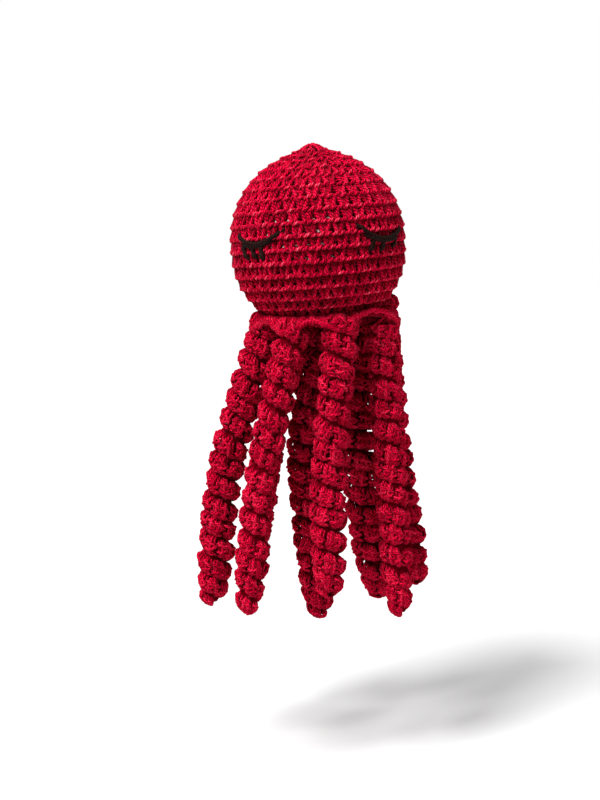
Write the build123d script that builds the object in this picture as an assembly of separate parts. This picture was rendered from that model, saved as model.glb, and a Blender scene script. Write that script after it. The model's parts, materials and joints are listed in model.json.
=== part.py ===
"""Crocheted octopus toy: a stuffed round head, a scalloped collar and eight corkscrew tentacles.

Millimetres, +Z up, the face looks along -Y. The origin is the tip of the crown, where the toy is held.
The head leans a little to one side, and the tentacles hang from a ring under its base.
Each tentacle is one long soft piece, made here as an upper and a lower length with a hinge between them.
"""
from build123d import *
import os
from math import cos, radians, sin, sqrt, tan

# ---- Head: a round body of revolution with a low pointed crown ----
HEAD_RADIUS = 35.1          # at the widest round, 42 stitches of about 5.2 mm
HEAD_WALL = 3.0             # thickness of the crocheted fabric
HEAD_LEAN = 3.5             # degrees, the crown leans towards -X
CROWN_SLOPE = 23.0          # degrees, how steeply the crown falls away from its tip
CROWN_TIP_RADIUS = 6.8      # rounding of the tip
UPPER_ARC_RADIUS = 35.8     # meridian curve above the widest round
LOWER_ARC_RADIUS = 30.1     # meridian curve below it
WIDEST_BAND = 5.0           # height over which the width stays the same
BASE_Z = -68.5              # underside of the head
STUFFING_GAP = 0.2

# ---- Base: a round closing disc, the collar round it and the seam between them ----
BASE_THICKNESS = 2.2
BASE_DISC_RADIUS = 18.5
COLLAR_INNER_RADIUS = 18.8
COLLAR_RADIUS = 27.0
SCALLOP_RADIUS = 7.0
SEAM_YARN_RADIUS = 0.7
SEAM_GAP = 0.05

# ---- Sleeping eyes: embroidered yarn lying on the head ----
EYE_AZIMUTH = 45.0          # degrees from the middle of the face
EYE_END_Z = -33.0           # height of the two ends of the closed lid
LID_WIDTH = 26.6
LID_SAG = 5.4
LID_THREAD = 1.9            # width of the laid yarn
LASH_THREAD = 1.3
EYE_RELIEF = 1.2            # how far the yarn stands out of the head
EYE_GAP = 0.1               # the yarn lies this far off the fabric
# Each lash runs from its top to its tip: (across, down) from the middle of the lid's ends.
LEFT_LASHES = [((-6.8, 5.9), (-4.0, 10.6)), ((-1.0, 7.2), (0.9, 10.4)), ((4.0, 6.9), (4.4, 11.2))]
RIGHT_LASHES = [((-5.0, 6.4), (-7.2, 10.0)), ((-0.3, 7.3), (-1.2, 10.4)), ((7.9, 5.4), (6.7, 9.0))]
EYES = [("left", -EYE_AZIMUTH, LEFT_LASHES), ("right", EYE_AZIMUTH, RIGHT_LASHES)]

# ---- Tentacles ----
RING_RADIUS = 25.5          # circle of the tentacles' roots
ROOT_DROP = 7.0             # root pivot below the collar's underside
TENTACLE_RADIUS = 6.6
MID_CLEARANCE = 7.0         # end of the upper length above the middle pivot
UPPER_LENGTH = 55.0
TIP_RADIUS = 3.6
TIP_TAPER = 18.0            # length of the narrowing towards the tip
UPPER_END_FILLET = 1.5
# Ring angle in degrees (0 is the middle of the face, + towards +X), the slope of the upper and of the
# lower length (millimetres towards +X and +Y for each millimetre down), and the length of the lower one.
TENTACLES = {
    "tentacle_1": (-78.0, (-0.287, -0.02), (-0.115, -0.02), 58.0),
    "tentacle_2": (-32.0, (-0.215, -0.09), (-0.105, -0.04), 55.0),
    "tentacle_3": (14.0, (-0.080, -0.08), (0.010, -0.05), 47.0),
    "tentacle_4": (59.0, (0.100, -0.06), (0.070, -0.04), 60.0),
    "tentacle_5": (104.0, (0.120, 0.03), (0.180, 0.04), 56.0),
    "tentacle_6": (146.0, (0.035, 0.04), (0.155, 0.04), 66.0),
    "tentacle_7": (180.0, (-0.134, 0.08), (0.095, 0.05), 77.0),
    "tentacle_8": (216.0, (-0.165, 0.02), (-0.150, 0.03), 48.0),
}


def head_outline(inset, bottom):
    """Half of the head's section, `inset` inside its outer face, closed at height `bottom`."""
    slope = radians(CROWN_SLOPE)
    normal = Vector(sin(slope), cos(slope))
    tip_radius = CROWN_TIP_RADIUS - inset
    upper_radius = UPPER_ARC_RADIUS - inset
    lower_radius = LOWER_ARC_RADIUS - inset
    tip_centre = Vector(0, -CROWN_TIP_RADIUS)
    upper_x = HEAD_RADIUS - UPPER_ARC_RADIUS
    upper_z = (CROWN_TIP_RADIUS * (1 - cos(slope)) - UPPER_ARC_RADIUS - upper_x * sin(slope)) / cos(slope)
    upper_centre = Vector(upper_x, upper_z)
    lower_centre = Vector(HEAD_RADIUS - LOWER_ARC_RADIUS, upper_z - WIDEST_BAND)
    side = HEAD_RADIUS - inset
    bottom_x = lower_centre.X + sqrt(lower_radius**2 - (bottom - lower_centre.Y) ** 2)
    bottom_turn = Vector(bottom_x - lower_centre.X, bottom - lower_centre.Y).get_angle(Vector(1, 0))
    outline = [
        CenterArc((tip_centre.X, tip_centre.Y), tip_radius, 90 - CROWN_SLOPE, CROWN_SLOPE),
        Line(tip_centre + normal * tip_radius, upper_centre + normal * upper_radius),
        CenterArc((upper_centre.X, upper_centre.Y), upper_radius, 0, 90 - CROWN_SLOPE),
        Line((side, upper_centre.Y), (side, lower_centre.Y)),
        CenterArc((lower_centre.X, lower_centre.Y), lower_radius, -bottom_turn, bottom_turn),
        Line((bottom_x, bottom), (0, bottom)),
        Line((0, bottom), (0, -inset)),
    ]
    return make_face(outline)


def head_body(inset, bottom=BASE_Z):
    """The solid of revolution whose outer face is `inset` inside the head's."""
    return revolve(Plane.XZ * head_outline(inset, bottom), Axis.Z)


def leaned(shape):
    """Tilts the head and what is on it about the tip of the crown."""
    return Rot(0, -HEAD_LEAN, 0) * shape


def head_cover():
    return head_body(0) - head_body(HEAD_WALL, BASE_Z - 0.5)


def head_stuffing():
    return head_body(HEAD_WALL + STUFFING_GAP, BASE_Z + STUFFING_GAP)


def under_head(plate):
    """Hangs a plate drawn on the XY plane under the head's base."""
    return Pos(0, 0, BASE_Z - BASE_THICKNESS) * extrude(plate, BASE_THICKNESS)


def base_disc():
    return under_head(Circle(BASE_DISC_RADIUS))


def on_ring(radius, angle):
    """A point on a circle about the head's axis, with angle 0 at the front."""
    return Vector(radius * sin(radians(angle)), -radius * cos(radians(angle)))


def tentacle_collar():
    plate = Circle(COLLAR_RADIUS)
    for angle, _, _, _ in TENTACLES.values():
        centre = on_ring(RING_RADIUS, angle)
        plate += Pos(centre.X, centre.Y) * Circle(SCALLOP_RADIUS)
    return under_head(plate - Circle(COLLAR_INNER_RADIUS))


def base_seam():
    middle = (BASE_DISC_RADIUS + COLLAR_INNER_RADIUS) / 2
    height = BASE_Z - BASE_THICKNESS - SEAM_YARN_RADIUS - SEAM_GAP
    return Pos(0, 0, height) * Torus(middle, SEAM_YARN_RADIUS)


def laid_yarn(drawing, azimuth):
    """Yarn of the drawn outline lying on the head, drawn as seen from straight in front of it."""
    face_plane = Plane(origin=(0, 0, EYE_END_Z), x_dir=(1, 0, 0), z_dir=(0, -1, 0))
    reach = extrude(face_plane * drawing, 2 * HEAD_RADIUS)
    reach = Rot(0, 0, azimuth) * reach
    return reach & (head_body(-EYE_RELIEF) - head_body(-EYE_GAP))


def eyelid(azimuth):
    line = ThreePointArc((-LID_WIDTH / 2, 0), (0, -LID_SAG), (LID_WIDTH / 2, 0))
    return laid_yarn(SlotArc(line, LID_THREAD), azimuth)


def stitch_outline(top, tip):
    """A round-ended stitch between two points given as (across, down)."""
    return SlotArc(Line((top[0], -top[1]), (tip[0], -tip[1])), LASH_THREAD)


def root_pivot(angle):
    """Centre of a tentacle's root, under the collar of the leaning head."""
    place = on_ring(RING_RADIUS, angle)
    pivot = Vector(place.X, place.Y, BASE_Z - BASE_THICKNESS - ROOT_DROP)
    return pivot.rotate(Axis.Y, -HEAD_LEAN)


def hanging_direction(slope):
    return Vector(slope[0], slope[1], -1).normalized()


def mid_pivot(angle, upper_slope):
    return root_pivot(angle) + hanging_direction(upper_slope) * UPPER_LENGTH


def outward_axis(angle):
    """Hinge axis about which a positive turn swings a hanging tentacle away from the head's axis."""
    return Vector(-cos(radians(angle)), -sin(radians(angle)), 0)


def along(pivot, direction):
    """A frame at the pivot whose +Z runs down the tentacle."""
    return Plane(origin=pivot, z_dir=direction)


def upper_length(angle, upper_slope):
    """From the ball at the root down to a rounded end above the middle pivot."""
    end = UPPER_LENGTH - MID_CLEARANCE
    body = Pos(0, 0, end / 2) * Cylinder(TENTACLE_RADIUS, end)
    body = fillet(body.edges().group_by(Axis.Z)[-1], UPPER_END_FILLET)
    ball = Sphere(TENTACLE_RADIUS)
    return along(root_pivot(angle), hanging_direction(upper_slope)) * (body + ball)


def lower_length(angle, upper_slope, lower_slope, length):
    """From the ball at the middle pivot down to the narrow rounded tip."""
    taper_start = length - TIP_TAPER
    tip_centre = length - TIP_RADIUS
    ball = Sphere(TENTACLE_RADIUS)
    body = Pos(0, 0, taper_start / 2) * Cylinder(TENTACLE_RADIUS, taper_start)
    taper_height = tip_centre - taper_start
    taper = Pos(0, 0, taper_start + taper_height / 2) * Cone(TENTACLE_RADIUS, TIP_RADIUS, taper_height)
    tip = Pos(0, 0, tip_centre) * Sphere(TIP_RADIUS)
    pivot = mid_pivot(angle, upper_slope)
    return along(pivot, hanging_direction(lower_slope)) * (ball + body + taper + tip)


def write(node, shape):
    export_step(shape, f"parts/{node}.step")


def main():
    os.makedirs("parts", exist_ok=True)
    write("head_cover", leaned(head_cover()))
    write("head_stuffing", leaned(head_stuffing()))
    write("base_disc", leaned(base_disc()))
    write("tentacle_collar", leaned(tentacle_collar()))
    write("base_seam", leaned(base_seam()))
    for side, azimuth, lash_ends in EYES:
        write(f"{side}_eyelid", leaned(eyelid(azimuth)))
        for number, (top, tip) in enumerate(lash_ends, 1):
            write(f"{side}_lash_{number}", leaned(laid_yarn(stitch_outline(top, tip), azimuth)))
    for name, (angle, upper_slope, lower_slope, length) in TENTACLES.items():
        write(f"{name}_upper", upper_length(angle, upper_slope))
        write(f"{name}_lower", lower_length(angle, upper_slope, lower_slope, length))


main()
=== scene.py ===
"""A crocheted octopus toy, with every visible stitch laid as yarn.

Lengths inside the functions are in millimetres, as a crocheter would give them, and MM turns them into
metres when a mesh is made. The head's own frame stands upright with its crown tip at the origin, and `lean`
tilts it.
"""
import json
import math

import bpy
import numpy as np
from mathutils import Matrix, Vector


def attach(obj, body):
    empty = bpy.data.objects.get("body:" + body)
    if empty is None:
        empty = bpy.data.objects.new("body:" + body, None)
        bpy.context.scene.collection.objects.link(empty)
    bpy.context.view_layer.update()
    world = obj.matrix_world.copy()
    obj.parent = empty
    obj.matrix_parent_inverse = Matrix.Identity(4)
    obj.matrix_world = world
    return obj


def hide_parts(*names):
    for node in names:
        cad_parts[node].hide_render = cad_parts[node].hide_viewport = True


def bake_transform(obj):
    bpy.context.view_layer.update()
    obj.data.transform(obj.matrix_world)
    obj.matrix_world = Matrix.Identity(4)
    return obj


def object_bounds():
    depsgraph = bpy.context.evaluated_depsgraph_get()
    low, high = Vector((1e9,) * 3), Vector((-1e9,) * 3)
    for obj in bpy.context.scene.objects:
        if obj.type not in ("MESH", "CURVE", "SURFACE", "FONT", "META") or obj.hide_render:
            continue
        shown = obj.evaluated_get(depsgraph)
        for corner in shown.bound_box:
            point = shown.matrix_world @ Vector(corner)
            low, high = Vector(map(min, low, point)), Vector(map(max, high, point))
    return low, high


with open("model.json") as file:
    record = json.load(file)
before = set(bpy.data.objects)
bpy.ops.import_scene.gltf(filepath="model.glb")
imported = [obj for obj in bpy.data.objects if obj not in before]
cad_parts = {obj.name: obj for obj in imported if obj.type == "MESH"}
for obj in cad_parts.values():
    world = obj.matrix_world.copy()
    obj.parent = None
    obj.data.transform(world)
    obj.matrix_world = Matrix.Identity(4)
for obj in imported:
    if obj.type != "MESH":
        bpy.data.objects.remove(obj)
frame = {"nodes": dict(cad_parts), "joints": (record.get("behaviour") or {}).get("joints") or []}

cad_low, cad_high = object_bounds()
rng = np.random.default_rng(8)
MM = 0.001

# ---- Yarn ----
YARN = 0.68                  # radius of the crimson yarn
YARN_SIDES = 6               # sides of a strand's cross-section
PLIES = 3
FLANK_SHADE = 0.3                # how much painted shade darkens the flanks of a strand
PLY_LENGTH = 4.4             # length over which the plies turn once

# ---- Head: the same outline as the CAD head ----
HEAD_RADIUS = 35.1
HEAD_LEAN = 3.5              # degrees
CROWN_SLOPE = 23.0           # degrees
CROWN_TIP_RADIUS = 6.8
UPPER_ARC_RADIUS = 35.8
LOWER_ARC_RADIUS = 30.1
WIDEST_BAND = 5.0
BASE_Z = -68.5
STITCH_WIDTH = 5.2
ROUND_HEIGHT = 5.06
STITCH_SLANT = 0.25          # each round is shifted by this much of a stitch
PUFF = 0.3                   # how far the stuffed fabric swells
TIGHT_Z = -14.0              # above this height the stuffing presses the stitches full,
LOOSE_Z = -40.0              # and below this one they lie open
FILLED = 0.12                # how far it lifts the stitches
FILLED_SHADE = 0.6           # how much less painted shade their hidden yarn gets
LINING_DEPTH = 2.4           # how far behind the stitches the cloth of the lining lies
FILLING_DEPTH = 3.4          # and how far behind them the stuffing starts
PIECES_MEET_Z = -36.0        # height at which the cover's upper piece ends and its lower one starts

# ---- Tentacles ----
CORE_RADIUS = 4.4
COIL_RADIUS = 6.0            # to the middle of the stitches' yarn
SHADE_FROM_RADIUS = 5.6          # yarn nearer the middle than this lies inside the fabric and is coloured darker as painted shade, and this much further in that painted shade is as dark as it gets
DEEPEST_SHADE_OVER = 2.0            # and this much further in it is as deep as it gets
COIL_PITCH = 8.5
LOBES_PER_TURN = 10.5        # stitches to a turn of the corkscrew
PAIRING = 0.11               # how far a stitch leans towards its partner, in stitches
CREASE = 0.6                 # how much lower its other side lies
LINKED = 0.9                 # the part of the stitches that has each of the two links to the next
TIP_TAPER = 20.0             # length over which a tip narrows
TIP_WIDTH = 0.58             # how wide it ends, as a part of the full width
FOOT_LENGTH = 4.5            # length over which its end is rounded
TOP_LENGTH = 4.0             # and the same at the root
LINE_POINTS = 240            # points of a tentacle's centreline
ROOT_PIECE = 34.0            # length of the piece that joins the head
ROOT_RISE = 12.5             # how far a tentacle starts above its hinge
NEXT_TURN = 0.9              # how far each one's coils are turned from the last one's, in radians
FULLER = {                   # how much thicker than the others each of these hangs
    "tentacle_1": 0.5,
    "tentacle_2": -0.3,
    "tentacle_3": 0.2,
    "tentacle_4": -0.4,
    "tentacle_6": 1.8,
    "tentacle_7": 1.0,
}
FULLER_FROM = 30.0           # the way down at which it has its whole thickness
ROOT_SHIFT = {               # how far the top of each of these is from where it would be
    "tentacle_2": (0, 0, -3.4),
    "tentacle_3": (0, 0, -1.6),
    "tentacle_4": (3.5, 0, -9.0),
    "tentacle_5": (0.6, -3.6, 3.6),
}


# ======================================================================== yarn and mesh tools

def through(points, count):
    """Catmull-Rom curves through batches of control points (m, k, 3), each sampled at `count` places."""
    k = points.shape[1]
    first = 2 * points[:, :1] - points[:, 1:2]
    last = 2 * points[:, -1:] - points[:, -2:-1]
    p = np.concatenate([first, points, last], axis=1)
    at = np.linspace(0, k - 1, count)
    i = np.minimum(at.astype(int), k - 2)
    t = (at - i)[None, :, None]
    a, b, c, d = p[:, i], p[:, i + 1], p[:, i + 2], p[:, i + 3]
    return 0.5 * (2 * b + (c - a) * t + (2 * a - 5 * b + 4 * c - d) * t**2 + (3 * b - a - 3 * c + d) * t**3)


def resample(values, count):
    """Values along strands, from one per control point to `count` of them."""
    at = np.linspace(0, values.shape[1] - 1, count)
    i = np.minimum(at.astype(int), values.shape[1] - 2)
    return values[:, i] + (at - i) * (values[:, i + 1] - values[:, i])


def unit(v):
    """Directions of length 1."""
    return v / np.maximum(np.linalg.norm(v, axis=-1, keepdims=True), 1e-9)


def rolling_frames(path):
    """Two directions across each path, carried along it without twist."""
    tangent = unit(np.gradient(path, axis=1))
    side = np.cross(tangent[:, 0], [0.0, 0.0, 1.0])
    flat = np.linalg.norm(side, axis=-1) < 0.1
    side[flat] = np.cross(tangent[flat, 0], [1.0, 0.0, 0.0])
    side = unit(side)
    sides = [side]
    for j in range(1, path.shape[1]):
        side = unit(side - (side * tangent[:, j]).sum(-1, keepdims=True) * tangent[:, j])
        sides.append(side)
    across = np.stack(sides, axis=1)
    return across, np.cross(tangent, across)


def tubes(path, radius, sides=YARN_SIDES, depth=0.0, outward=None):
    """Closed tubes of yarn round a batch of paths (m, n, 3); radius and depth are numbers or (m, n) arrays.

    Depth is 0 for yarn on the outside of the fabric and 1 for yarn deep inside it, and deeper yarn is painted
    darker as shade. With the fabric's outward directions (m, n, 3) the flanks of the yarn, which lie in the
    crevices, get more painted shade than its crest.
    """
    m, n, _ = path.shape
    radius = np.broadcast_to(np.asarray(radius, float), (m, n))
    across, up = rolling_frames(path)
    step = np.linalg.norm(np.diff(path, axis=1), axis=-1)
    along = np.concatenate([np.zeros((m, 1)), np.cumsum(step, axis=1)], axis=1)
    turn = np.linspace(0, 2 * np.pi, sides, endpoint=False)
    ring = np.cos(turn)[:, None] * across[:, :, None] + np.sin(turn)[:, None] * up[:, :, None]
    points = path[:, :, None] + radius[:, :, None, None] * ring
    twist = np.empty((m, n, sides, 3))
    twist[..., 0] = np.cos(turn)
    twist[..., 1] = np.sin(turn)
    twist[..., 2] = (along + rng.uniform(0, PLY_LENGTH, (m, 1)))[:, :, None]
    # Painted shade: yarn that lies deeper and the flanks of each strand are coloured darker; the rest varies
    # at random.
    tone_and_shade = rng.uniform(0, 1, (m, 1, 1)) - np.broadcast_to(np.asarray(depth, float), (m, n))[:, :, None]
    if outward is not None:
        tone_and_shade = tone_and_shade - FLANK_SHADE * (1 - np.clip((ring * outward[:, :, None]).sum(-1), 0, 1))
    tone_and_shade = np.broadcast_to(tone_and_shade, (m, n, sides))
    index = np.arange(m * n * sides).reshape(m, n, sides)
    here, there = index[:, :-1], index[:, 1:]
    quads = np.stack([here, np.roll(here, -1, 2), np.roll(there, -1, 2), there], axis=-1)
    caps = np.concatenate([index[:, 0, ::-1], index[:, -1]])
    return {"points": points.reshape(-1, 3), "quads": quads.reshape(-1, 4), "caps": caps,
            "twist": twist.reshape(-1, 3), "tone_and_shade": tone_and_shade.reshape(-1)}


def mesh_piece(name, parts, material, to_row=None):
    """One object from several batches of tubes or grids, in metres, placed by `to_row`."""
    offset = 0
    loops, totals = [], []
    for part in parts:
        for faces in (part["quads"], part["caps"]):
            if len(faces):
                loops.append((faces + offset).reshape(-1))
                totals.append(np.full(len(faces), faces.shape[1]))
        offset += len(part["points"])
    points = np.concatenate([part["points"] for part in parts])
    if to_row is not None:
        points = to_row(points)
    loops, totals = np.concatenate(loops), np.concatenate(totals)
    mesh = bpy.data.meshes.new(name)
    mesh.vertices.add(len(points))
    mesh.vertices.foreach_set("co", (points * MM).astype(np.float32).reshape(-1))
    mesh.loops.add(len(loops))
    mesh.loops.foreach_set("vertex_index", loops.astype(np.int32))
    mesh.polygons.add(len(totals))
    mesh.polygons.foreach_set("loop_start", (np.cumsum(totals) - totals).astype(np.int32))
    mesh.polygons.foreach_set("loop_total", totals.astype(np.int32))
    mesh.polygons.foreach_set("use_smooth", np.ones(len(totals), bool))
    mesh.update(calc_edges=True)
    twist = np.concatenate([part["twist"] for part in parts])
    # Each point's random colour together with its painted shade, read by the yarn material.
    tone_and_shade = np.concatenate([part["tone_and_shade"] for part in parts])
    twist_data = mesh.attributes.new("twist", "FLOAT_VECTOR", "POINT").data
    twist_data.foreach_set("vector", twist.astype(np.float32).reshape(-1))
    tone_and_shade_data = mesh.attributes.new("tone_and_shade", "FLOAT", "POINT").data
    tone_and_shade_data.foreach_set("value", tone_and_shade.astype(np.float32))
    mesh.materials.append(material)
    piece = bpy.data.objects.new(name, mesh)
    bpy.context.scene.collection.objects.link(piece)
    return piece


# ======================================================================== materials

def shader(name, roughness, specular, tint=(1, 1, 1), sheen=0.0):
    """A material with a Principled shader, and its node tree."""
    material = bpy.data.materials.new(name)
    material.use_nodes = True
    tree = material.node_tree
    principled = tree.nodes["Principled BSDF"]
    principled.inputs["Roughness"].default_value = roughness
    principled.inputs["Specular IOR Level"].default_value = specular
    principled.inputs["Specular Tint"].default_value = (*tint, 1)
    principled.inputs["Sheen Weight"].default_value = sheen
    principled.inputs["Sheen Roughness"].default_value = 0.4
    principled.inputs["Sheen Tint"].default_value = (*tint, 1)
    return material, tree, principled


def math_node(tree, operation, *values):
    """The result of a math node on numbers and other nodes' outputs."""
    node = tree.nodes.new("ShaderNodeMath")
    node.operation = operation
    for socket, value in zip(node.inputs, values):
        if isinstance(value, (int, float)):
            socket.default_value = value
        else:
            tree.links.new(value, socket)
    return node.outputs[0]


def ramp(tree, factor, stops):
    """A colour ramp from (position, colour) stops."""
    node = tree.nodes.new("ShaderNodeValToRGB")
    elements = node.color_ramp.elements
    while len(elements) < len(stops):
        elements.new(0.5)
    for element, (position, colour) in zip(elements, stops):
        element.position = position
        element.color = (*colour, 1)
    tree.links.new(factor, node.inputs["Fac"])
    return node.outputs["Color"]


SHADE_STOPS = (0.0, 0.3, 0.55, 0.8, 0.98)     # from painted shade deep in a crevice to a painted highlight on the crest of a ply
PLY_SHADE = 0.40             # how much each of these brightens the yarn: the crest of a ply, as a painted highlight with painted shade in its valleys, the strand's own random colour, less painted shade by how deep it lies, its fine fibres, and patches a few stitches wide
STRAND_SHADE = 0.3           # the strand's own tone and how near the outside it lies,
FIBRE_SHADE = 0.12           # its fine fibres,
PATCH_SHADE = 0.2            # and patches a few stitches wide
FIBRE_SCALE = 3800
FIBRE_RELIEF = 0.5           # how high the fibres stand, as a part of the plies' relief
PATCH_SCALE = 90


def yarn_material(name, colours, roughness, specular, tint, lustre, fuzz, ply_depth):
    """Plied yarn: strands that wind round it, fine fibres along them, and colour that varies by stitch, with
    painted shade in crevices and ply valleys and a painted highlight on ply crests.
    """
    material, tree, principled = shader(name, roughness, specular, tint, fuzz)
    principled.inputs["Metallic"].default_value = lustre
    nodes, links = tree.nodes, tree.links
    twist = nodes.new("ShaderNodeAttribute")
    twist.attribute_name = "twist"
    tone_and_shade = nodes.new("ShaderNodeAttribute")
    tone_and_shade.attribute_name = "tone_and_shade"
    place = nodes.new("ShaderNodeSeparateXYZ")
    links.new(twist.outputs["Vector"], place.inputs[0])
    around = math_node(tree, "ARCTAN2", place.outputs["Y"], place.outputs["X"])
    wound = math_node(tree, "MULTIPLY", place.outputs["Z"], 2 * math.pi / PLY_LENGTH)
    phase = math_node(tree, "MULTIPLY", math_node(tree, "ADD", around, wound), PLIES / 2)
    plies = math_node(tree, "ABSOLUTE", math_node(tree, "SINE", phase))
    fibres = nodes.new("ShaderNodeTexNoise")
    fibres.inputs["Scale"].default_value = FIBRE_SCALE
    fibres.inputs["Detail"].default_value = 3
    coordinates = nodes.new("ShaderNodeTexCoord")
    links.new(coordinates.outputs["Object"], fibres.inputs["Vector"])
    patches = nodes.new("ShaderNodeTexNoise")
    patches.inputs["Scale"].default_value = PATCH_SCALE
    patches.inputs["Detail"].default_value = 2
    links.new(coordinates.outputs["Object"], patches.inputs["Vector"])
    # Painted shade by depth and in ply valleys, and painted highlights on ply crests, go into the colour with
    # random strand, fibre and patch variation.
    shade = math_node(tree, "MULTIPLY", tone_and_shade.outputs["Fac"], STRAND_SHADE)
    shade = math_node(tree, "MULTIPLY_ADD", plies, PLY_SHADE, shade)
    shade = math_node(tree, "MULTIPLY_ADD", fibres.outputs["Fac"], FIBRE_SHADE, shade)
    shade = math_node(tree, "MULTIPLY_ADD", patches.outputs["Fac"], PATCH_SHADE, shade)
    colour = ramp(tree, shade, list(zip(SHADE_STOPS, colours)))
    links.new(colour, principled.inputs["Base Color"])
    relief = math_node(tree, "MULTIPLY_ADD", fibres.outputs["Fac"], FIBRE_RELIEF, plies)
    bump = nodes.new("ShaderNodeBump")
    bump.inputs["Strength"].default_value = 1.0
    bump.inputs["Distance"].default_value = ply_depth
    links.new(relief, bump.inputs["Height"])
    links.new(bump.outputs["Normal"], principled.inputs["Normal"])
    return material


def lining_material(name, dark, light):
    """The inside of the fabric, which shows only between stitches, coloured darker than the yarn as painted
    shade.
    """
    material, tree, principled = shader(name, 0.9, 0.0)
    noise = tree.nodes.new("ShaderNodeTexNoise")
    noise.inputs["Scale"].default_value = 700
    coordinates = tree.nodes.new("ShaderNodeTexCoord")
    tree.links.new(coordinates.outputs["Object"], noise.inputs["Vector"])
    colour = ramp(tree, noise.outputs["Fac"], [(0.35, dark), (0.7, light)])
    tree.links.new(colour, principled.inputs["Base Color"])
    return material


def stuffing_material():
    """White polyester fibre, coloured grey-pink as painted shade and painted red light reflected from the
    yarn around it.
    """
    material, tree, principled = shader("stuffing_fibre", 0.8, 0.3, sheen=0.3)
    noise = tree.nodes.new("ShaderNodeTexNoise")
    noise.inputs["Scale"].default_value = 1800
    noise.inputs["Detail"].default_value = 5
    coordinates = tree.nodes.new("ShaderNodeTexCoord")
    tree.links.new(coordinates.outputs["Object"], noise.inputs["Vector"])
    # Grey-pink rather than white: painted shade and painted red light reflected from the yarn around it.
    colour = ramp(tree, noise.outputs["Fac"], [(0.3, (0.40, 0.24, 0.22)), (0.65, (0.80, 0.58, 0.54))])
    tree.links.new(colour, principled.inputs["Base Color"])
    bump = tree.nodes.new("ShaderNodeBump")
    bump.inputs["Strength"].default_value = 0.7
    bump.inputs["Distance"].default_value = 0.0006
    tree.links.new(noise.outputs["Fac"], bump.inputs["Height"])
    tree.links.new(bump.outputs["Normal"], principled.inputs["Normal"])
    return material


# From painted shade in crevices, through the yarn's own crimson, to a pink painted highlight on ply crests.
CRIMSON = [
    (0.06, 0.0, 0.002),
    (0.20, 0.0, 0.007),
    (0.46, 0.0, 0.022),
    (0.72, 0.010, 0.050),
    (0.95, 0.14, 0.20),
]
# The same steps for the black-brown yarn, from painted shade to painted highlight.
BLACK_BROWN = [
    (0.003, 0.001, 0.001),
    (0.006, 0.002, 0.002),
    (0.009, 0.0035, 0.003),
    (0.016, 0.006, 0.005),
    (0.04, 0.018, 0.015),
]
RED = yarn_material(
    "crimson_cotton", CRIMSON, roughness=0.34, specular=0.0, tint=(1.0, 0.12, 0.22),
    lustre=0.4, fuzz=0.3, ply_depth=0.00022)
BLACK = yarn_material(
    "black_brown_cotton", BLACK_BROWN, roughness=0.6, specular=0.06, tint=(1.0, 0.6, 0.5),
    lustre=0.0, fuzz=0.0, ply_depth=0.00025)
# Darker than the crimson yarn: painted shade inside the head's fabric.
LINING = lining_material("inner_fabric_painted_shade", (0.16, 0.0, 0.005), (0.36, 0.001, 0.016))
# Near black-red: painted shade in the middle of the tentacles' coils.
CORE = lining_material("shaded_core", (0.06, 0.0, 0.002), (0.14, 0.0, 0.006))
STUFFING = stuffing_material()


# ======================================================================== the head's surface

def arc(centre, radius, start, end, count):
    """Points (x, z) along an arc, with angles in degrees from +X."""
    angle = np.radians(np.linspace(start, end, count))
    return np.stack([centre[0] + radius * np.cos(angle), centre[1] + radius * np.sin(angle)], axis=-1)


def head_outline():
    """The head's outer line (x, z) from the crown tip to the edge of the base, closely sampled."""
    slope = math.radians(CROWN_SLOPE)
    upper_x = HEAD_RADIUS - UPPER_ARC_RADIUS
    tip_drop = CROWN_TIP_RADIUS * (1 - math.cos(slope))
    upper_z = (tip_drop - UPPER_ARC_RADIUS - upper_x * math.sin(slope)) / math.cos(slope)
    lower_x = HEAD_RADIUS - LOWER_ARC_RADIUS
    lower_z = upper_z - WIDEST_BAND
    base_turn = math.degrees(math.asin((lower_z - BASE_Z) / LOWER_ARC_RADIUS))
    tip = arc((0, -CROWN_TIP_RADIUS), CROWN_TIP_RADIUS, 90, 90 - CROWN_SLOPE, 12)
    upper = arc((upper_x, upper_z), UPPER_ARC_RADIUS, 90 - CROWN_SLOPE, 0, 80)
    lower = arc((lower_x, lower_z), LOWER_ARC_RADIUS, 0, -base_turn, 80)
    return np.concatenate([tip, upper, lower])


class Round:
    """A surface of revolution: places on it are given by the way round, the way down it and the way out.

    The outside is on the left of the outline as it runs, and on its right where down_sign is -1.
    """

    def __init__(self, outline, down_sign=1):
        step = np.linalg.norm(np.diff(outline, axis=0), axis=-1)
        self.way = np.concatenate([[0], np.cumsum(step)])
        self.x, self.z = outline.T
        run = unit(np.gradient(outline, self.way, axis=0))
        self.out_x = -run[:, 1] * down_sign
        self.out_z = run[:, 0] * down_sign
        self.length = self.way[-1]

    def radius(self, way):
        return np.interp(way, self.way, self.x)

    def height(self, way):
        return np.interp(way, self.way, self.z)

    def way_at(self, z):
        """The way down the surface to height z."""
        return np.interp(-np.asarray(z, float), -self.z, self.way)

    def place(self, turn, way, out):
        """Points from the turn in radians (0 in front, + towards +X), the way down and the way out."""
        spread = self.radius(way) + out * np.interp(way, self.way, self.out_x)
        height = self.height(way) + out * np.interp(way, self.way, self.out_z)
        turn, spread, height = np.broadcast_arrays(turn, spread, height)
        return np.stack([spread * np.sin(turn), -spread * np.cos(turn), height], axis=-1)

    def outward(self, points):
        """The directions out of the surface near points that lie close to it."""
        way = self.way_at(points[..., 2])
        turn = np.arctan2(points[..., 0], -points[..., 1])
        out_x = np.interp(way, self.way, self.out_x)
        out_z = np.interp(way, self.way, self.out_z)
        return np.stack([out_x * np.sin(turn), -out_x * np.cos(turn), out_z], axis=-1)


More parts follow.
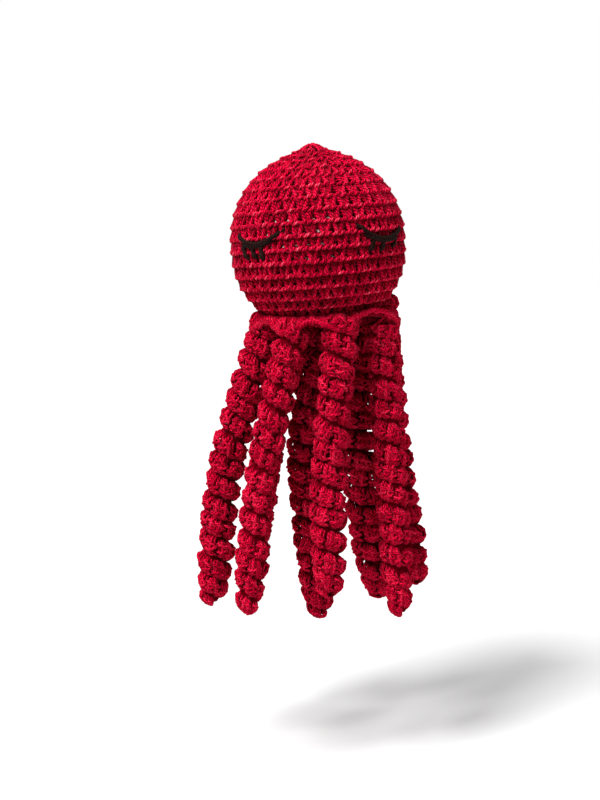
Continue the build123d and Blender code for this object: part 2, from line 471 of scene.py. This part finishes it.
def lean(points):
    """From the head's upright frame to the row's."""
    a = math.radians(HEAD_LEAN)
    x, y, z = points.T
    return np.stack([x * math.cos(a) - z * math.sin(a), y, x * math.sin(a) + z * math.cos(a)], axis=-1)


def round_turns(count):
    """Evenly spaced turns all the way round."""
    return np.linspace(0, 2 * np.pi, count, endpoint=False)


def rounds_of(surface, first_way, last_way, width, height):
    """Where each stitch of a spiral of rounds sits: turn, way down and width, as arrays."""
    turns, ways, widths = [], [], []
    shift = 0.0
    count = int(round((last_way - first_way) / height))
    pitch = (last_way - first_way) / count
    for i in range(count):
        middle = first_way + (i + 0.5) * pitch
        number = max(6, int(round(2 * np.pi * surface.radius(middle) / width)))
        shift += STITCH_SLANT
        part = (np.arange(number) + shift % 1.0) / number
        way = first_way + (i + part) * pitch
        turns.append(np.pi - 2 * np.pi * part)
        ways.append(way)
        widths.append(2 * np.pi * surface.radius(middle) / number * np.ones(number))
    return np.concatenate(turns), np.concatenate(ways), np.concatenate(widths), pitch


def stitch_strands(surface, turn, way, width, pitch, shape, count, wobble=0.12, swell=0.0):
    """One strand in each stitch, from a shape of points: across in stitch widths, down in rounds, out in mm,
    and depth, which sets how much painted shade the yarn there gets and is also how much `swell` lifts the
    point."""
    shape = np.asarray(shape, float)
    m = len(turn)
    jitter = rng.normal(0, wobble, (m, len(shape), 3)) * np.array([1.0, 1.0, 0.8])
    across = shape[None, :, 0] * width[:, None] + jitter[..., 0]
    down = shape[None, :, 1] * pitch + jitter[..., 1]
    out = shape[None, :, 2] + jitter[..., 2] + PUFF + swell * shape[None, :, 3]
    ways = np.clip(way[:, None] + down, 0.3, surface.length)
    reach = np.maximum(surface.radius(ways), 1.2)
    return through(surface.place(turn[:, None] + across / reach, ways, out), count)


# Shapes of the strands of one single crochet stitch, worked towards the base: across, down, out, depth.
# Depth colours the yarn darker as painted shade, and below 0 lighter as a painted highlight on the ridges.
LEFT_LEG = [(-0.10, -0.12, -1.5, 1.5), (-0.13, 0.12, -1.3, 1.4), (-0.20, 0.38, -1.1, 1.0),
            (-0.28, 0.62, -0.85, 0.4), (-0.34, 0.84, -0.62, -0.1), (-0.37, 1.05, -1.5, 0.5)]
LEFT_FILL = [(-0.44, -0.05, -1.8, 1.5), (-0.41, 0.30, -1.5, 1.3), (-0.40, 0.60, -1.3, 0.9),
             (-0.42, 0.90, -1.5, 0.7)]
FIRST_LOOP = [(-0.10, 1.06, -1.5, 0.4), (0.04, 1.04, -0.5, 0.0), (0.24, 0.93, -0.02, -0.42),
              (0.42, 0.82, -0.55, 0.0), (0.54, 0.80, -1.5, 0.4)]
SECOND_LOOP = [(x + 0.5, d + 0.02, o - 0.25, depth) for x, d, o, depth in FIRST_LOOP]
BACK_BAR = [(-0.10, 0.50, -2.5, 1.0), (0.2, 0.40, -2.2, 1.0), (0.5, 0.34, -2.1, 1.0), (0.8, 0.40, -2.2, 1.0),
            (1.10, 0.50, -2.5, 1.0)]


def mirrored(shape):
    """The same strand on the other side of the stitch."""
    return [(-x, d, o, depth) for x, d, o, depth in shape]


# Each strand of the stitch: its shape, how many places it is sampled at, and how thick it is, in yarns.
STITCH = (
    (LEFT_LEG, 8, 1.25),
    (mirrored(LEFT_LEG), 8, 1.25),
    (LEFT_FILL, 5, 1.0),
    (mirrored(LEFT_FILL), 5, 1.0),
    (FIRST_LOOP, 7, 0.90),
    (SECOND_LOOP, 7, 0.90),
    (BACK_BAR, 5, 1.4),
)


def crochet_rounds(surface, placing, pick=None):
    """The yarn of rounds of single crochet on a surface, as batches of tubes."""
    turn, way, width, pitch = placing
    if pick is not None:
        turn, way, width = turn[pick], way[pick], width[pick]
    slack = rng.uniform(0.92, 1.08, len(turn))
    crowding = np.clip(width / STITCH_WIDTH, 0.62, 1.0)
    tight = np.clip((surface.height(way) - LOOSE_Z) / (TIGHT_Z - LOOSE_Z), 0, 1)[:, None]
    parts = []
    for shape, count, thick in STITCH:
        path = stitch_strands(surface, turn, way, width, pitch, shape, count, swell=FILLED * tight)
        # Painted shade for yarn that lies deep, less where the stuffing presses the stitches full.
        deep = resample(np.array([[point[3] for point in shape]]), count)
        depth = deep - FILLED_SHADE * tight * np.maximum(deep, 0)
        radius = (YARN * thick * slack * crowding)[:, None] * np.ones((1, count))
        parts.append(tubes(path, radius, depth=depth, outward=surface.outward(path)))
    return parts


def grid_of_revolution(surface, start, end, out, rows, columns):
    """A plain skin of the surface, `out` from it, closed at both ends by fans."""
    way = np.linspace(start, end, rows)
    turn = round_turns(columns)
    points = surface.place(turn[None, :], way[:, None], out)
    index = np.arange(rows * columns).reshape(rows, columns)
    here, there = index[:-1], index[1:]
    quads = np.stack([here, there, np.roll(there, -1, 1), np.roll(here, -1, 1)], axis=-1).reshape(-1, 4)
    caps = np.concatenate([index[:1, :], index[-1:, ::-1]])
    return plain_part(points.reshape(-1, 3), quads, caps)


def plain_part(points, quads, caps):
    """A part with no yarn twist, for linings and stuffing."""
    twist = np.tile([1.0, 0.0, 0.0], (len(points), 1))
    return {"points": points, "quads": quads, "caps": caps, "twist": twist, "tone_and_shade": np.full(len(points), 0.5)}


# ======================================================================== head

head = Round(head_outline())
head_rounds = rounds_of(head, 0.4, head.length, STITCH_WIDTH, ROUND_HEIGHT)


def crown_knot():
    """The drawn-up ring of stitches that closes the crown in a low peak."""
    count = 10
    turn = round_turns(count)[:, None] + rng.normal(0, 0.05, (count, 1))
    way = np.array([0.1, 1.4, 3.0, 4.8, 6.6])[None, :] + rng.normal(0, 0.1, (count, 5))
    out = np.array([-0.3, -0.15, -0.2, -0.45, -1.2])[None, :]
    swirl = np.array([0.0, 0.2, 0.4, 0.5, 0.55])[None, :]
    spokes = tubes(through(head.place(turn + swirl, np.maximum(way, 0.05), out + 0 * way), 12), YARN)
    turn = np.linspace(0, 3.2 * np.pi, 36)
    way = np.linspace(0.2, 3.6, 36)
    coil = head.place(turn, way, 0.15 + 0.15 * np.sin(turn * 3.5) - way * 0.1)
    return [spokes, tubes(coil[None], YARN * 0.8)]


def make_head():
    """The cover in two pieces, above and below its middle, and the cloth-like inside of its fabric, coloured
    as painted shade.
    """
    way = head_rounds[1]
    middle = head.way_at(PIECES_MEET_Z)
    crown = crochet_rounds(head, head_rounds, way < middle) + crown_knot()
    upper = mesh_piece("head_crown_rounds", crown, RED, lean)
    lower = mesh_piece("head_lower_rounds", crochet_rounds(head, head_rounds, way >= middle), RED, lean)
    inside = grid_of_revolution(head, 0.6, head.length, -LINING_DEPTH, 60, 96)
    lining = mesh_piece("head_lining", [inside], LINING, lean)
    for piece in (upper, lower, lining):
        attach(piece, "head")
    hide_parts("head_cover")


SPECK_TURNS = (-0.75, 0.2)
SPECK_HEIGHTS = (-44.0, -22.0)
SPECK_CHANCE = 0.5           # the part of the stitches there that show one
SPECK_RADIUS = 0.52
LUMPINESS = 0.008            # how lumpy the ball of stuffing is, as a part of its size
TUFT = [(-0.10, 0.62, -2.3, 0.0), (0.0, 0.72, -1.7, 0.0), (0.10, 0.80, -2.3, 0.0)]


def stuffing_specks():
    """Tufts of filling that show in some of the loosest stitches of the face."""
    turn, way, width, pitch = head_rounds
    height = head.height(way)
    loose = (turn > SPECK_TURNS[0]) & (turn < SPECK_TURNS[1])
    loose &= (height > SPECK_HEIGHTS[0]) & (height < SPECK_HEIGHTS[1])
    pick = np.flatnonzero(loose)[rng.uniform(0, 1, loose.sum()) < SPECK_CHANCE]
    path = stitch_strands(head, turn[pick], way[pick], width[pick], pitch, TUFT, 5, wobble=0.2)
    return tubes(path, SPECK_RADIUS)


def make_stuffing():
    """The filling, a slightly lumpy ball inside the lining."""
    skin = grid_of_revolution(head, 1.0, head.length - 0.5, -FILLING_DEPTH, 40, 60)
    points = skin["points"]
    lump = np.sin(points[:, 0] * 0.7) * np.sin(points[:, 1] * 0.6 + 1) * np.sin(points[:, 2] * 0.5)
    skin["points"] = points * (1 + LUMPINESS * lump[:, None])
    piece = mesh_piece("head_filling", [skin, stuffing_specks()], STUFFING, lean)
    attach(piece, "head")
    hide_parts("head_stuffing")


# ======================================================================== eyes

# Lids and lashes are drawn as the way across the eye and the way below the height where a lid ends.
EYE_TURN = 45.0              # degrees to each side of the front
EYE_END_Z = -33.0
LEFT_LID = [(-13.4, 0.2), (-9.2, 2.5), (-5.2, 4.1), (-0.9, 5.2),
            (3.0, 5.0), (6.4, 4.1), (10.7, 2.0), (14.8, -0.6)]
RIGHT_LID = [(-13.8, -1.2), (-9.9, 1.6), (-6.4, 4.1), (-0.8, 5.6),
             (4.0, 5.6), (7.4, 4.9), (11.6, 3.1), (14.8, 0.3)]
LEFT_LASHES = [((-7.4, 3.9), (-4.0, 11.2)), ((-1.4, 4.8), (0.9, 10.8)), ((3.6, 4.4), (4.4, 11.6))]
RIGHT_LASHES = [((-4.4, 4.2), (-7.0, 10.4)), ((0.2, 4.8), (-1.2, 10.6)), ((8.2, 3.2), (6.5, 9.6))]
EYE_YARN = 0.86
LASH_YARN = 0.66


def on_face(across, z, out, eye_turn):
    """Points of the face from the way across the eye, the height and the way out."""
    way = head.way_at(z)
    return head.place(math.radians(eye_turn) + np.asarray(across) / HEAD_RADIUS, way, np.asarray(out))


def eye_strand(across, z, eye_turn, count, bury=1.6, proud=0.45, radius=EYE_YARN):
    """One strand that lies on the face and whose two ends go into it."""
    k = len(across)
    out = np.full(k, proud)
    out[0] = out[-1] = -bury
    out = out + rng.normal(0, 0.05, k)
    path = through(on_face(np.asarray(across, float), np.asarray(z, float), out, eye_turn)[None], count)
    return tubes(path, radius, 8)


def make_eye(side, eye_turn, lid_line, lash_ends):
    """A sleeping eye: a lid laid in two strands of yarn with three short lashes under it."""
    line = np.array(lid_line)
    lid = []
    for shift, first, last in ((-0.5, 0, len(line)), (0.55, 1, len(line) - 1)):
        x = line[first:last, 0] + rng.normal(0, 0.12, last - first)
        z = EYE_END_Z - line[first:last, 1] - shift + rng.normal(0, 0.1, last - first)
        lid.append(eye_strand(x, z, eye_turn, 60))
    piece = mesh_piece(f"{side}_eyelid_yarn", lid, BLACK, lean)
    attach(piece, "head")
    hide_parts(f"{side}_eyelid")
    for number, (top, tip) in enumerate(lash_ends, 1):
        strands = []
        for shift in (-0.36, 0.36):
            x = np.linspace(top[0], tip[0], 5) + shift + rng.normal(0, 0.08, 5)
            z = EYE_END_Z - np.linspace(top[1], tip[1], 5)
            strands.append(eye_strand(x, z, eye_turn, 18, proud=0.5, radius=LASH_YARN))
        lash = mesh_piece(f"{side}_lash_{number}_yarn", strands, BLACK, lean)
        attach(lash, "head")
        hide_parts(f"{side}_lash_{number}")


# ======================================================================== base and collar

BASE_RADIUS = 18.2
BASE_DROP = 2.2              # how far the disc's outside is below the head's end
BASE_LINING_DEPTH = 1.1
SEAM_STITCHES = 44


def make_base():
    """The closing disc: rounds of crochet seen from below."""
    radius = np.linspace(0.1, BASE_RADIUS, 30)
    outline = np.stack([radius, np.full(30, BASE_Z - BASE_DROP)], axis=-1)
    disc = Round(outline, down_sign=-1)
    placing = rounds_of(disc, 0.4, disc.length, STITCH_WIDTH, ROUND_HEIGHT)
    lining = grid_of_revolution(disc, 0.2, disc.length, -BASE_LINING_DEPTH, 10, 48)
    piece = mesh_piece("base_disc_rounds", crochet_rounds(disc, placing) + [lining], RED, lean)
    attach(piece, "head")
    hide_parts("base_disc")


def make_seam():
    """Slanting whip stitches over the edge of the base disc."""
    radius = np.array([17.6, 18.0, 18.7, 19.4, 19.9])
    drop = np.array([-1.2, -2.6, -3.1, -2.6, -1.2])
    slant = np.array([-0.05, -0.03, 0.0, 0.03, 0.05])
    angle = round_turns(SEAM_STITCHES)[:, None] + slant[None, :] + rng.normal(0, 0.008, (SEAM_STITCHES, 5))
    points = np.stack([radius * np.sin(angle), -radius * np.cos(angle), BASE_Z + drop + 0 * angle], axis=-1)
    piece = mesh_piece("base_whip_stitches", [tubes(through(points, 10), YARN * 0.95)], RED, lean)
    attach(piece, "head")
    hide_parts("base_seam")


# ======================================================================== tentacles

JOINTS = {joint["name"]: joint for joint in frame["joints"]}
NAMES = sorted({joint["name"].rsplit("_", 1)[0] for joint in frame["joints"]})


def tentacle_line(name):
    """A tentacle's centreline at rest, from root to tip in even steps of mm.

    Gives the way down to each point, the points, two directions across it, and the places of its two joints.
    """
    root = np.array(JOINTS[name + "_swing"]["pos_m"]) / MM
    middle = np.array(JOINTS[name + "_curl"]["pos_m"]) / MM
    lower = frame["nodes"][name + "_lower"].data
    points = np.array([v.co for v in lower.vertices]) / MM
    tip = points[np.argmax(np.linalg.norm(points - middle, axis=-1))]
    shift = np.array(ROOT_SHIFT.get(name, (0, 0, 0)), float)
    start = root + unit(root - middle) * ROOT_RISE + shift
    neck = root + 0.5 * shift * [1, 1, 0]
    path = through(np.stack([start, neck, middle, tip])[None], LINE_POINTS)[0]
    step = np.linalg.norm(np.diff(path, axis=0), axis=-1)
    way = np.concatenate([[0], np.cumsum(step)])
    even = np.linspace(0, way[-1], LINE_POINTS)
    path = at_way(even, way, path)
    down = unit(np.gradient(path, axis=0))
    across = unit(np.cross([0.0, 1.0, 0.0], -down))
    deep = np.cross(-down, across)
    return even, path, across, deep, root, middle


def outline_factor(way, length):
    """The part of its full width that a tentacle has at each way down it: round ends and a tapering tip."""
    taper = TIP_WIDTH + (1 - TIP_WIDTH) * np.clip((length - way) / TIP_TAPER, 0, 1) ** 0.7
    foot = np.clip((length - way) / FOOT_LENGTH, 0, 1)
    top = np.clip((way + 0.5) / TOP_LENGTH, 0, 1)
    return taper * np.sqrt(1 - (1 - foot) ** 2) * np.sqrt(1 - (1 - top) ** 2)


def at_way(way, ways, vectors):
    """The vector at each way, between those given at `ways`."""
    return np.stack([np.interp(way, ways, vectors[:, i]) for i in range(3)], axis=-1)


def coil_middle(line, points):
    """The places on a tentacle's centreline at the heights of the points."""
    path = line[1][::-1]
    return at_way(points[..., 2], path[:, 2], path)


def coil_points(line, way, turn, radius):
    """Points round the tentacle: the way down it, the turn about it, the distance from its middle."""
    even, path, across, deep, _, _ = line
    way = np.clip(way, 0.0, even[-1])
    right = np.cos(turn)[..., None] * at_way(way, even, across)
    back = np.sin(turn)[..., None] * at_way(way, even, deep)
    return at_way(way, even, path) + radius[..., None] * (right + back)


# Strands of one stitch of a tentacle, as points: turn in stitches, distance from the middle, height.
def fan(side):
    """One of the strands that make a stitch's bump, from side -1 at the left to 1 at the right."""
    low = 0.6 * side * side
    return [(0.05 * side, 3.5, -3.9), (0.10 * side, 5.2, -3.2), (0.19 * side, 6.3 - low, -1.8),
            (0.27 * side, 6.65 - low, 0.1), (0.30 * side, 6.3 - low, 1.9), (0.26 * side, 5.2 - low, 3.3),
            (0.14 * side, 3.4, 3.9)]


EDGE_FRONT = [(-0.55, 5.5, -2.1), (-0.2, 6.1, -1.8), (0.2, 6.15, -2.0), (0.55, 5.6, -2.5)]
EDGE_BACK = [(-0.45, 5.0, -3.1), (-0.1, 5.5, -3.1), (0.3, 5.6, -2.9), (0.65, 5.1, -2.6)]
UPPER_LINK = [(-0.56, 5.6, 1.7), (-0.30, 6.6, 1.95), (0.02, 6.85, 1.6), (0.34, 6.6, 0.8), (0.58, 5.7, 0.3)]
LOWER_LINK = [(-0.56, 5.6, -1.2), (-0.30, 6.6, -1.4), (0.02, 6.85, -1.1), (0.34, 6.6, -0.3), (0.58, 5.7, 0.2)]


def coil_strands(line, stitches, shape, pick=slice(None)):
    """One strand in each stitch of a corkscrew, and how much painted shade each of its points gets by how
    deep in the fabric it lies.
    """
    shape = np.asarray(shape, float)
    way, turn, size, tilt, puff = (value[pick][:, None] for value in stitches)
    m, k = len(way), len(shape)
    jitter = rng.normal(0, 0.11, (m, k, 3))
    across = shape[None, :, 0] * 2 * np.pi / LOBES_PER_TURN * size
    high = (shape[None, :, 2] + jitter[..., 2]) * size
    across = across + tilt * high / COIL_RADIUS
    at = way - high + across / (2 * np.pi) * COIL_PITCH
    radius = (shape[None, :, 1] + puff + jitter[..., 1]) * outline_factor(at, line[0][-1])
    # Painted shade for yarn that lies inside the fabric, darker nearer the middle.
    depth = np.clip((SHADE_FROM_RADIUS - shape[None, :, 1]) / DEEPEST_SHADE_OVER, 0, 1) * np.ones((m, 1))
    return coil_points(line, at, turn + across + jitter[..., 0] / COIL_RADIUS, radius), depth


def coil_tubes(line, stitches, shape, count, radius, pick=slice(None)):
    """The tubes of one strand in each stitch of a corkscrew."""
    path, depth = coil_strands(line, stitches, shape, pick)
    path = through(path, count)
    outward = unit(path - coil_middle(line, path))
    return tubes(path, radius * np.ones((1, count)), depth=resample(depth, count), outward=outward)


def tentacle_parts(line, start, end, seed_turn, fuller):
    """The yarn of one tentacle between two ways down it."""
    length = line[0][-1]
    number = int((length + 2) / COIL_PITCH * LOBES_PER_TURN)
    index = np.arange(number)
    turns = index / LOBES_PER_TURN
    # The coils' pitch and the stitches' size, lean and fullness vary, as in handwork.
    uneven = 0.7 * np.sin(turns * 2.1 + 5 * seed_turn) + 0.45 * np.sin(turns * 5.3 + 2 * seed_turn)
    way = turns * COIL_PITCH + uneven
    turn = seed_turn + 2 * np.pi * turns + 0.05 * np.sin(turns * 9)
    size = rng.normal(1.0, 0.07, number).clip(0.85, 1.14)
    tilt = rng.normal(0.10, 0.16, number)
    puff = rng.normal(0, 0.25, number).clip(-0.5, 0.2) + 0.12 * np.sin(turns * 3.3 + seed_turn)
    puff += fuller * np.clip(way / FULLER_FROM, 0, 1)
    some = rng.uniform(0, 1, (2, number)) < LINKED
    partner = 1 - 2 * (index % 2)     # stitches stand in pairs: the side on which each has its partner
    turn = turn + PAIRING * partner * 2 * np.pi / LOBES_PER_TURN
    keep = (way >= start) & (way < end)
    way, turn, size, tilt, puff, partner = (value[keep] for value in (way, turn, size, tilt, puff, partner))
    stitches = (way, turn, size, tilt, puff)
    some = some[:, keep]
    thick = 0.8 + 0.2 * outline_factor(way, length)[:, None]
    parts = []
    for side in (-1, 0, 1):
        creased = puff - CREASE * np.clip(-side * partner, 0, 1)
        parts.append(coil_tubes(line, (way, turn, size, tilt, creased), fan(side), 11, YARN * 0.98 * thick))
    parts += [coil_tubes(line, stitches, shape, 7, YARN * 0.72 * thick) for shape in (EDGE_FRONT, EDGE_BACK)]
    for shape, pick in ((UPPER_LINK, some[0]), (LOWER_LINK, some[1])):
        parts.append(coil_tubes(line, stitches, shape, 8, YARN * 0.86 * thick[pick], pick))
    return parts


def core_part(line, start, end):
    """The core behind a tentacle's stitches, coloured near black-red as painted shade."""
    length = line[0][-1]
    way = np.linspace(start, min(end, length - 2.0), max(8, int((end - start) / 2.0)))
    centre = coil_points(line, way, 0 * way, 0 * way)
    return tubes(centre[None], (CORE_RADIUS * outline_factor(way, length))[None], 12)


def make_tentacle(name, seed_turn):
    """A tentacle's yarn and core, each as a piece that joins the head and one that hangs from that."""
    line = tentacle_line(name)
    even, path, _, _, root, middle = line
    length = even[-1]
    fuller = FULLER.get(name, 0.0)

    def at(way):
        return Vector(at_way(way, even, path) * MM)

    top = mesh_piece(name + "_root_coils", tentacle_parts(line, 0, ROOT_PIECE, seed_turn, fuller), RED)
    hanging = tentacle_parts(line, ROOT_PIECE, length, seed_turn, fuller)
    low = mesh_piece(name + "_hanging_coils", hanging, RED)
    top_core = mesh_piece(name + "_root_core", [core_part(line, 1.5, ROOT_PIECE + 1)], CORE)
    low_core = mesh_piece(name + "_hanging_core", [core_part(line, ROOT_PIECE + 1, length)], CORE)
    for piece in (top, top_core):
        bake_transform(piece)
    for piece in (low, low_core):
        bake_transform(piece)
    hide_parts(name + "_upper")
    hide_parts(name + "_lower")
    return root


# ======================================================================== collar

COLLAR_INNER = (20.0, -67.2)
COLLAR_EDGE_RADIUS = 27.0
COLLAR_EDGE_Z = -68.3
COLLAR_STITCHES = 40
DIP_TURN = 6.5 / 25.5        # half the width of a dip in the edge: 6.5 mm at 25.5 mm from the middle
DIP_SPREAD = 3.0             # how far a dip's edge stands out over its tentacle,
DIP_DROP = 4.4               # and how far down it comes
ARCH_TURN = 0.76             # where the edge has its highest arch,
ARCH_WIDTH = 0.28            # how far that reaches to each side, in radians,
ARCH_RISE = 1.8              # and how much higher its middle is
FLARE_BEYOND = 0.4           # how far beyond the arch the brim stands out furthest, in radians,
FLARE_WIDTH = 0.5            # how far that reaches to each side,
FLARE_SPREAD = 3.5           # and how far out it stands
SKIRT_LINING = [(0.0, -0.9), (0.4, -0.9), (0.8, -0.9), (0.95, -1.0), (0.95, -1.9), (0.5, -2.2), (0.0, -2.2)]


def make_collar(root_turns):
    """The scalloped brim: a short skirt whose edge dips at each tentacle and arches between them."""
    def dip(turn):
        """How near each turn is to a tentacle: 1 over one and 0 between two."""
        gap = np.abs((turn[..., None] - root_turns + np.pi) % (2 * np.pi) - np.pi).min(-1)
        return np.exp(-((gap / DIP_TURN) ** 2))

    def place(turn, down, out):
        """Points from the turn, the way down the skirt from 0 to 1 at its edge, and the way out."""
        low = dip(turn)
        beside = (turn + np.pi) % (2 * np.pi) - np.pi - ARCH_TURN
        lift = np.exp(-((beside / ARCH_WIDTH) ** 2))
        flare = np.exp(-(((beside - FLARE_BEYOND) / FLARE_WIDTH) ** 2))
        edge_r = COLLAR_EDGE_RADIUS + DIP_SPREAD * low + FLARE_SPREAD * flare
        edge_z = COLLAR_EDGE_Z - (DIP_DROP + flare) * low * (1 - lift) + ARCH_RISE * lift
        r = COLLAR_INNER[0] + (edge_r - COLLAR_INNER[0]) * np.sqrt(np.clip(down, 0, 1.2)) + 0.35 * out
        z = COLLAR_INNER[1] + (edge_z - COLLAR_INNER[1]) * np.clip(down, 0, 1.2) ** 1.6 + 0.9 * out
        return np.stack([r * np.sin(turn), -r * np.cos(turn), z], axis=-1)

    turn = round_turns(COLLAR_STITCHES) + rng.normal(0, 0.012, COLLAR_STITCHES)
    stitch = 2 * np.pi / COLLAR_STITCHES
    parts = []
    for side in (-1, -0.33, 0.33, 1):
        down = np.array([0.0, 0.3, 0.6, 0.85, 1.0])
        spread = side * np.array([0.34, 0.34, 0.36, 0.36, 0.30])
        out = np.array([-0.6, 0.1, 0.2, 0.1, -0.5]) + 0.45 * (1 - side * side) * np.array([0, 1, 1, 1, 0.4])
        angle = turn[:, None] + spread * stitch + rng.normal(0, 0.006, (COLLAR_STITCHES, 5))
        parts.append(tubes(through(place(angle, down + 0 * angle, out + 0 * angle), 9), YARN))
    for lift in (0.25, -0.45):
        across = np.array([-0.2, 0.2, 0.7, 1.05])
        angle = turn[:, None] + across * stitch + rng.normal(0, 0.008, (COLLAR_STITCHES, 1))
        bow = np.array([-0.7, 0.2, 0.3, -0.6])
        points = place(angle, 1.0 + 0 * angle, bow + lift + 0 * angle)
        parts.append(tubes(through(points, 8), YARN * 1.05))
    columns = 160
    under_turn = round_turns(columns)
    rows = []
    for down, out in SKIRT_LINING:
        rows.append(place(under_turn, np.full(columns, down), np.full(columns, out)))
    points = np.stack(rows)
    index = np.arange(points.shape[0] * columns).reshape(-1, columns)
    there = np.roll(index, -1, 0)
    quads = np.stack([index, there, np.roll(there, -1, 1), np.roll(index, -1, 1)], axis=-1).reshape(-1, 4)
    parts.append(plain_part(points.reshape(-1, 3), quads, np.empty((0, 4), int)))
    piece = mesh_piece("collar_brim", parts, RED, lean)
    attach(piece, "head")
    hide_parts("tentacle_collar")


# ======================================================================== floor, light and camera

ROOM_LIGHT = 0.16            # what the room gives; the camera sees it at full strength, as a white backdrop
LAMPS = {                    # strength, angle across in degrees, direction of the light
    "large_soft_lamp": (4.3, 20, (0.58, 0.50, -1.0)),
    "ceiling_lamp": (2.4, 60, (0.05, 0.10, -1.0)),
}
FLOOR_DROP = 0.045           # from the lowest tip to the floor, in metres
FLOOR_SIZE = 6.0             # metres


def make_floor():
    """A plain pale floor, below the hanging toy."""
    bpy.ops.mesh.primitive_plane_add(size=FLOOR_SIZE, location=(0, 0, cad_low.z - FLOOR_DROP))
    floor = bpy.context.object
    floor.name = "floor"
    material, _, principled = shader("pale_floor", 0.9, 0.1)
    principled.inputs["Base Color"].default_value = (0.62, 0.62, 0.62, 1)
    floor.data.materials.append(material)


def make_light():
    """A white room that gives a little light, and one large soft lamp above the viewer's left shoulder."""
    world = bpy.data.worlds.new("soft_white_room")
    world.use_nodes = True
    tree = world.node_tree
    background = tree.nodes["Background"]
    background.inputs["Color"].default_value = (1, 1, 1, 1)
    seen = tree.nodes.new("ShaderNodeLightPath")
    strength = math_node(tree, "MULTIPLY_ADD", seen.outputs["Is Camera Ray"], 1 - ROOM_LIGHT, ROOM_LIGHT)
    tree.links.new(strength, background.inputs["Strength"])
    bpy.context.scene.world = world
    for name, (strength, angle, direction) in LAMPS.items():
        data = bpy.data.lights.new(name, "SUN")
        data.energy = strength
        data.angle = math.radians(angle)
        lamp = bpy.data.objects.new(name, data)
        lamp.rotation_euler = Vector(direction).to_track_quat("-Z", "Y").to_euler()
        bpy.context.scene.collection.objects.link(lamp)
    bpy.context.scene.view_settings.view_transform = "Standard"


CAMERA_DISTANCE = 0.52       # metres, like the heights and the side
CAMERA_HEIGHT = -0.025
CAMERA_SIDE = -0.0048
AIM_HEIGHT = -0.104
LENS = 57.1                  # focal length in mm


def make_camera():
    """The viewpoint: a little above the eyes, looking straight at the toy's front."""
    data = bpy.data.cameras.new("camera")
    data.lens = LENS
    data.clip_start = 0.01
    camera = bpy.data.objects.new("camera", data)
    camera.location = (CAMERA_SIDE, -CAMERA_DISTANCE, CAMERA_HEIGHT)
    aim = Vector((CAMERA_SIDE, 0, AIM_HEIGHT))
    camera.rotation_euler = (aim - camera.location).to_track_quat("-Z", "Y").to_euler()
    bpy.context.scene.collection.objects.link(camera)
    bpy.context.scene.camera = camera


# ======================================================================== assembly

make_camera()
make_floor()
make_light()
make_head()
make_stuffing()
make_eye("left", -EYE_TURN, LEFT_LID, LEFT_LASHES)
make_eye("right", EYE_TURN, RIGHT_LID, RIGHT_LASHES)
make_base()
make_seam()
roots = [make_tentacle(name, NEXT_TURN * number) for number, name in enumerate(NAMES)]
# The collar dips over each root, at its turn in the head's own frame.
lean_back = math.radians(HEAD_LEAN)
head_x = [p[0] * math.cos(lean_back) + p[2] * math.sin(lean_back) for p in roots]
make_collar(np.array([math.atan2(x, -p[1]) for x, p in zip(head_x, roots)]))
